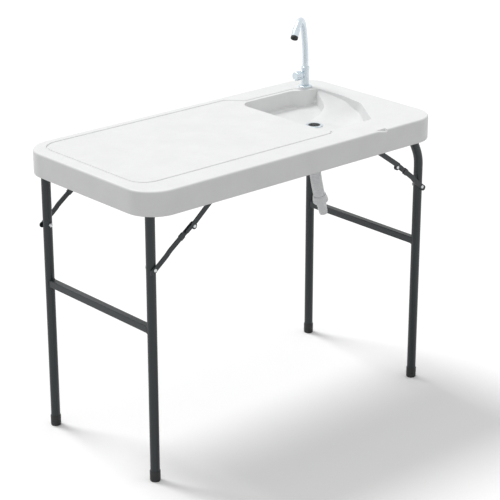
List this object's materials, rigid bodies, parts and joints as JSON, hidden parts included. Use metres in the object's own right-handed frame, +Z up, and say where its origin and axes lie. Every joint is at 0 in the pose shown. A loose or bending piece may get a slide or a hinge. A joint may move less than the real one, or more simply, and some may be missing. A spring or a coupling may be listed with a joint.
{
  "type": "fish cleaning table",
  "caption": "Folding outdoor table with a moulded sink, gooseneck faucet, ribbed drain hose, and two fold-flat steel leg frames held by knee braces",
  "frame": {"origin": "on the floor under the middle of the tabletop", "axes": "+X along the table to the sink end, +Y across it to the side with the faucet, +Z up"},
  "size_m": [1.15, 0.59, 1.1308],
  "materials": {
    "plastic": "satin, fine moulded grain",
    "steel": "charcoal powder coat",
    "foot_cap": "matt",
    "zinc": "bright zinc plate",
    "faucet": "polished plate",
    "rubber": "matt",
    "hose": "satin"
  },
  "bodies": {
    "table": {"tabletop": "plastic", "rail_front": "steel", "rail_back": "steel", "left_saddle_front": "steel", "left_saddle_back": "steel", "right_bracket_front": "steel", "right_bracket_back": "steel", "hinge_bolt_front": "zinc", "hinge_bolt_back": "zinc", "rail_pivot_left_front": "zinc", "rail_pivot_left_back": "zinc", "rail_pivot_right_front": "zinc", "rail_pivot_right_back": "zinc", "faucet_flange": "faucet", "faucet_body": "faucet", "faucet_collar": "faucet", "faucet_nut": "zinc", "drain_flange": "faucet", "drain_strainer": "rubber", "drain_gasket": "rubber", "drain_nut": "rubber", "drain_hose": "hose", "hose_clamp": "zinc", "hose_coupler": "hose", "hose_nozzle": "hose"},
    "left_frame": {"left_leg_front": "steel", "left_leg_back": "steel", "left_crossbar": "steel", "foot_left_front": "foot_cap", "foot_left_back": "foot_cap", "brace_bolt_left_front": "zinc", "brace_bolt_left_back": "zinc", "left_top_tube": "steel"},
    "right_frame": {"right_leg_front": "steel", "right_leg_back": "steel", "right_crossbar": "steel", "foot_right_front": "foot_cap", "foot_right_back": "foot_cap", "brace_bolt_right_front": "zinc", "brace_bolt_right_back": "zinc"},
    "lower_left_front": {"brace_lower_left_front": "steel"},
    "upper_left_front": {"brace_upper_left_front": "steel", "knee_rivet_left_front": "zinc"},
    "sleeve_left_front": {"lock_sleeve_left_front": "steel"},
    "lower_left_back": {"brace_lower_left_back": "steel"},
    "upper_left_back": {"brace_upper_left_back": "steel", "knee_rivet_left_back": "zinc"},
    "sleeve_left_back": {"lock_sleeve_left_back": "steel"},
    "lower_right_front": {"brace_lower_right_front": "steel"},
    "upper_right_front": {"brace_upper_right_front": "steel", "knee_rivet_right_front": "zinc"},
    "sleeve_right_front": {"lock_sleeve_right_front": "steel"},
    "lower_right_back": {"brace_lower_right_back": "steel"},
    "upper_right_back": {"brace_upper_right_back": "steel", "knee_rivet_right_back": "zinc"},
    "sleeve_right_back": {"lock_sleeve_right_back": "steel"},
    "spout": {"faucet_spout": "faucet", "faucet_head": "faucet", "faucet_outlet": "rubber"},
    "handle": {"faucet_handle": "faucet"}
  },
  "joints": [
    {"name": "left_fold", "type": "hinge", "parent": "table", "child": "left_frame", "pos_m": [-0.528, 0, 0.838], "axis": [0, -1, 0], "range_deg": [0, 90]},
    {"name": "lower_left_front_turn", "type": "hinge", "parent": "left_frame", "child": "lower_left_front", "pos_m": [-0.528, -0.2594, 0.655], "axis": [0, -1, 0], "range_deg": [-130, 0]},
    {"name": "upper_left_front_turn", "type": "hinge", "parent": "table", "child": "upper_left_front", "pos_m": [-0.29776, -0.2644, 0.833], "axis": [0, -1, 0], "range_deg": [0, 133.9]},
    {"name": "sleeve_left_front_slide", "type": "slide", "parent": "lower_left_front", "child": "sleeve_left_front", "axis": [-0.8081, 0, -0.5891], "range_m": [0, 0.025]},
    {"name": "lower_left_back_turn", "type": "hinge", "parent": "left_frame", "child": "lower_left_back", "pos_m": [-0.528, 0.2594, 0.655], "axis": [0, -1, 0], "range_deg": [-130, 0]},
    {"name": "upper_left_back_turn", "type": "hinge", "parent": "table", "child": "upper_left_back", "pos_m": [-0.29776, 0.2644, 0.833], "axis": [0, -1, 0], "range_deg": [0, 133.9]},
    {"name": "sleeve_left_back_slide", "type": "slide", "parent": "lower_left_back", "child": "sleeve_left_back", "axis": [-0.8081, 0, -0.5891], "range_m": [0, 0.025]},
    {"name": "right_fold", "type": "hinge", "parent": "table", "child": "right_frame", "pos_m": [0.51, 0, 0.838], "axis": [0, 1, 0], "range_deg": [0, 90]},
    {"name": "lower_right_front_turn", "type": "hinge", "parent": "right_frame", "child": "lower_right_front", "pos_m": [0.54, -0.2594, 0.655], "axis": [0, 1, 0], "range_deg": [-130.9, 0]},
    {"name": "upper_right_front_turn", "type": "hinge", "parent": "table", "child": "upper_right_front", "pos_m": [0.31242, -0.2644, 0.826], "axis": [0, 1, 0], "range_deg": [0, 132.1]},
    {"name": "sleeve_right_front_slide", "type": "slide", "parent": "lower_right_front", "child": "sleeve_right_front", "axis": [0.7806, 0, -0.625], "range_m": [0, 0.025]},
    {"name": "lower_right_back_turn", "type": "hinge", "parent": "right_frame", "child": "lower_right_back", "pos_m": [0.54, 0.2594, 0.655], "axis": [0, 1, 0], "range_deg": [-130.9, 0]},
    {"name": "upper_right_back_turn", "type": "hinge", "parent": "table", "child": "upper_right_back", "pos_m": [0.31242, 0.2644, 0.826], "axis": [0, 1, 0], "range_deg": [0, 132.1]},
    {"name": "sleeve_right_back_slide", "type": "slide", "parent": "lower_right_back", "child": "sleeve_right_back", "axis": [0.7806, 0, -0.625], "range_m": [0, 0.025]},
    {"name": "spout_swivel", "type": "hinge", "parent": "table", "child": "spout", "pos_m": [0.484, 0.213, 0.95], "axis": [0, 0, 1], "range_deg": [-90, 90]},
    {"name": "handle_turn", "type": "hinge", "parent": "table", "child": "handle", "pos_m": [0.45, 0.213, 0.931], "axis": [1, 0, 0], "range_deg": [0, 90]}
  ],
  "couplings": [
    {"joint": "lower_left_front_turn", "follows": "left_fold", "ratio": -1.4434},
    {"joint": "upper_left_front_turn", "follows": "left_fold", "ratio": 1.4868},
    {"joint": "lower_left_back_turn", "follows": "left_fold", "ratio": -1.4434},
    {"joint": "upper_left_back_turn", "follows": "left_fold", "ratio": 1.4868},
    {"joint": "lower_right_front_turn", "follows": "right_fold", "ratio": -1.4537},
    {"joint": "upper_right_front_turn", "follows": "right_fold", "ratio": 1.4675},
    {"joint": "lower_right_back_turn", "follows": "right_fold", "ratio": -1.4537},
    {"joint": "upper_right_back_turn", "follows": "right_fold", "ratio": 1.4675}
  ]
}
